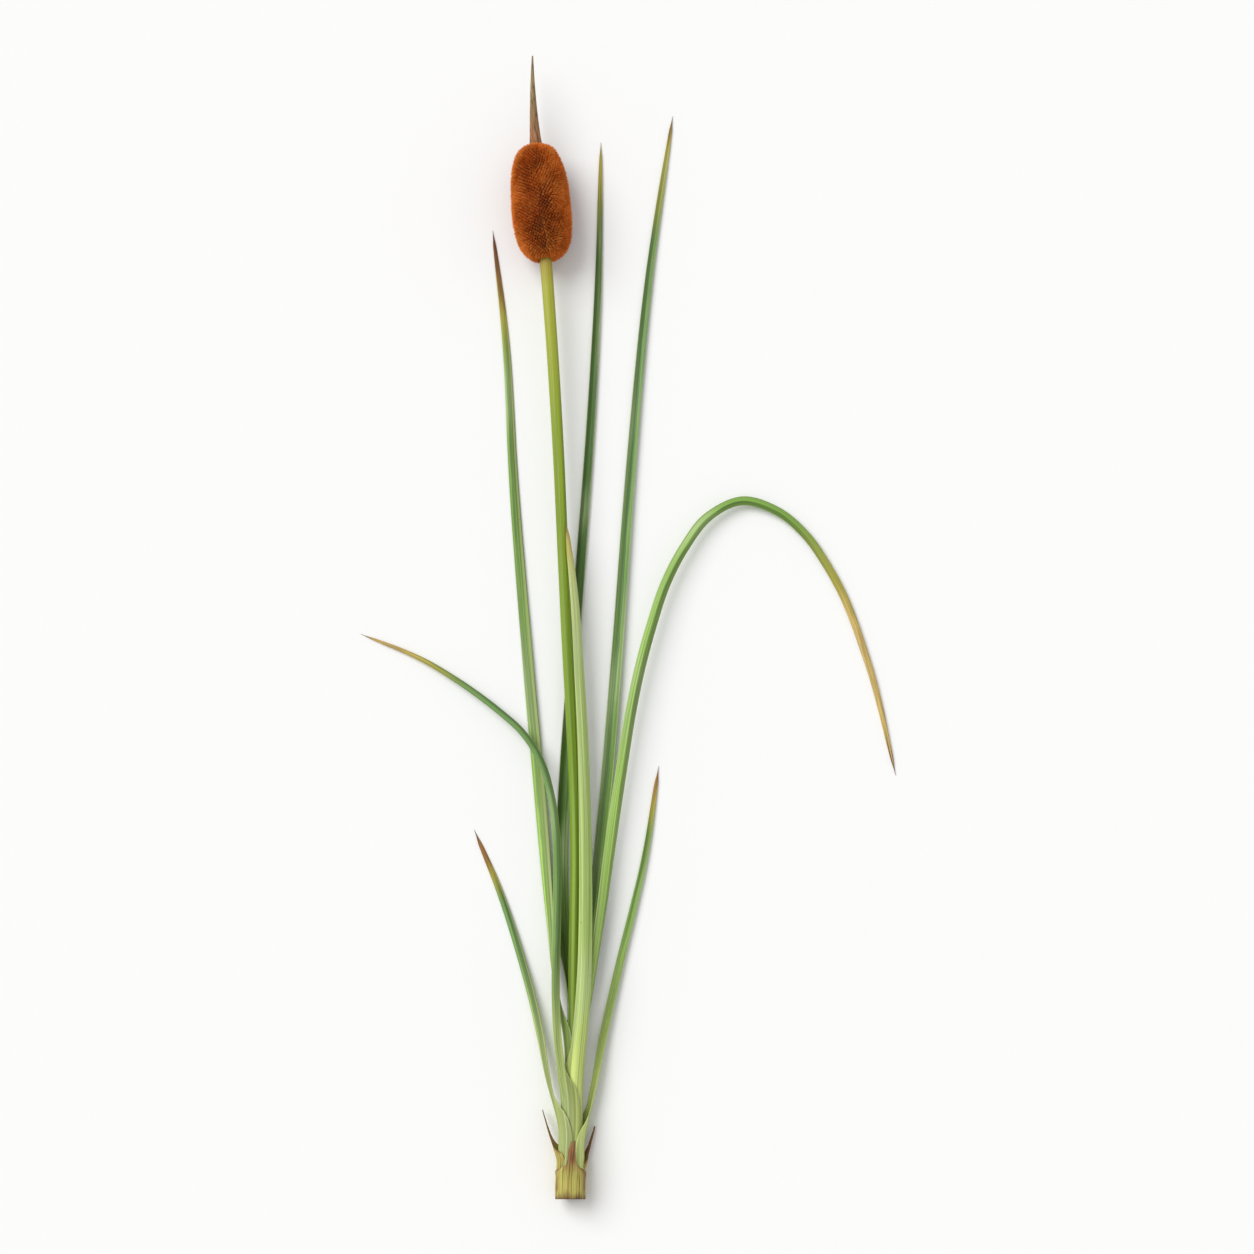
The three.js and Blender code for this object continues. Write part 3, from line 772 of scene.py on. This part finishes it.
def bristle_coat(spike):
    """Thin pointed bristles, gathered into small tufts that lean in swirls."""
    _, axis, outline = spike
    steps, angles = spread_over(outline, BRISTLES)
    roots, normals = spike_points(spike, steps, angles, BRISTLE_MM * MM)
    tuft_steps, tuft_angles = spread_over(outline, TUFTS)
    tuft_tops, tuft_normals = spike_points(spike, tuft_steps, tuft_angles, TUFT_SUNK_MM * MM)
    tuft = nearest(roots, tuft_tops - tuft_normals * BRISTLE_MM * MM)
    lean = tuft_lean(axis, outline, tuft_steps, tuft_angles, tuft_normals)

    uneven = rng.normal(0, UNEVEN, BRISTLES)
    uneven += STRAY_LENGTH * (rng.uniform(0, 1, BRISTLES) > 1 - STRAYS)
    height = BRISTLE_MM * MM * (1 + rng.normal(0, TUFT_UNEVEN, TUFTS)[tuft] + uneven)
    tips = roots + normals * height[:, None]
    tips += TUFT_PULL * (tuft_tops[tuft] - tips) + lean[tuft]
    tips += rng.normal(0, SCATTER_MM, (BRISTLES, 3)) * MM
    tips += parting_shift(axis, outline, steps, angles, normals)
    tips[:, 2] = np.maximum(tips[:, 2], TIPS_OVER_MM * MM)
    roots[:, 2] = np.maximum(roots[:, 2], ROOTS_OVER_MM * MM)

    side = unit(np.cross(normals, rng.normal(0, 1, (BRISTLES, 3))))
    other = np.cross(normals, side)
    width = BRISTLE_WIDTH_MM * MM * rng.uniform(0.7, 1.2, BRISTLES)[:, None]
    corners = []
    for turn in BRISTLE_CORNERS:
        corners.append(roots + side * width * math.cos(turn) + other * width * math.sin(turn))
    points = np.stack([*corners, tips], axis=1).reshape(-1, 3)
    first = 4 * np.arange(BRISTLES)[:, None]
    faces = np.concatenate([first + [0, 1, 3], first + [1, 2, 3], first + [2, 0, 3]]).tolist()
    own = rng.normal(0.5, 0.2, TUFTS)[tuft] + rng.normal(0, 0.15, BRISTLES)
    own = np.repeat(np.clip(own, 0, 1), 4)
    uv = {"bristle": np.stack([own, np.tile([0.0, 0.0, 0.0, 1.0], BRISTLES)], axis=1)}
    return mesh_object("spike_bristles", points, faces, [bristle_material()], uv=uv, smooth=False)


def spike_core(spike):
    """The closed dark body that the bristles stand on."""
    angles = np.linspace(0, 2 * math.pi, CORE_SIDES, endpoint=False)
    rows = []
    for step in np.linspace(1.4, len(spike[2]) - 2.4, CORE_ROWS):
        steps = np.full(CORE_SIDES, step)
        rows.append(spike_points(spike, steps, angles, (BRISTLE_MM - ROOTS_MM) * MM)[0])
    points = np.array(rows).reshape(-1, 3)
    points[:, 2] = np.maximum(points[:, 2], CORE_OVER_MM * MM)
    j = np.arange(CORE_SIDES)
    after = (j + 1) % CORE_SIDES
    around = np.stack([j, j + CORE_SIDES, after + CORE_SIDES, after], axis=1)
    row_starts = CORE_SIDES * np.arange(CORE_ROWS - 1)[:, None, None]
    faces = (around[None] + row_starts).reshape(-1, 4).tolist()
    faces.append(j.tolist())
    faces.append((j + CORE_SIDES * (CORE_ROWS - 1))[::-1].tolist())
    return mesh_object("spike_core", points, faces, [core_material()])


spike = spike_frame()
finish_piece(bristle_coat(spike), "female_spike")
finish_piece(spike_core(spike), "female_spike")


# ---- Floor, light and camera ----

FLOOR_REACH = 20.0
ROOM_LIGHT = 0.56  # how strongly the room lights the stalk
ROOM_TONE = 0.97  # how bright the room itself looks
SUN_FROM = (-0.75, 0.5, 1.0)
SUN_STRENGTH = 1.95
SUN_SPREAD = math.radians(45)
CAMERA_LENS = 85
CAMERA_ELEVATION = math.radians(79)
CAMERA_DISTANCE = 0.93
CAMERA_TARGET = Vector((0.0, -0.0055, 0.004))


def floor_material():
    n = Nodes("pale_floor")
    n.shader.inputs["Base Color"].default_value = srgb(250, 250, 249)
    n.shader.inputs["Roughness"].default_value = 0.75
    n.shader.inputs["Specular IOR Level"].default_value = 0.2
    return n.material


def add_floor():
    corners = FLOOR_REACH * np.array([[-1, -1, 0], [1, -1, 0], [1, 1, 0], [-1, 1, 0]])
    floor = mesh_object("floor", corners, [[0, 1, 2, 3]], [floor_material()])


def aim(thing, place, target):
    thing.location = place
    thing.rotation_euler = (Vector(target) - Vector(place)).to_track_quat("-Z", "Y").to_euler()


def add_sun():
    """A wide soft light from one side, with the same strength all over the floor."""
    light = bpy.data.lights.new("key", "SUN")
    light.energy = SUN_STRENGTH
    light.angle = SUN_SPREAD
    lamp = bpy.data.objects.new("key", light)
    bpy.context.scene.collection.objects.link(lamp)
    aim(lamp, SUN_FROM, (0, 0, 0))


def add_camera():
    """Over the stalk and a little towards its foot, so that it looks down along it."""
    camera = bpy.data.cameras.new("camera")
    camera.lens = CAMERA_LENS
    eye = bpy.data.objects.new("camera", camera)
    bpy.context.scene.collection.objects.link(eye)
    towards = Vector((0, -math.cos(CAMERA_ELEVATION), math.sin(CAMERA_ELEVATION)))
    aim(eye, CAMERA_TARGET + CAMERA_DISTANCE * towards, CAMERA_TARGET)
    bpy.context.scene.camera = eye


def light_room():
    """An even room, which looks as pale as the floor over the horizon."""
    world = bpy.data.worlds.new("room")
    world.use_nodes = True
    tree = world.node_tree
    background = tree.nodes["Background"]
    background.inputs["Color"].default_value = (1, 1, 1, 1)
    seen = tree.nodes.new("ShaderNodeLightPath").outputs["Is Camera Ray"]
    strength = tree.nodes.new("ShaderNodeMapRange")
    strength.inputs["To Min"].default_value = ROOM_LIGHT
    strength.inputs["To Max"].default_value = ROOM_TONE
    tree.links.new(seen, strength.inputs["Value"])
    tree.links.new(strength.outputs["Result"], background.inputs["Strength"])
    bpy.context.scene.world = world
    bpy.context.scene.view_settings.view_transform = "Standard"


add_floor()
light_room()
add_sun()
add_camera()
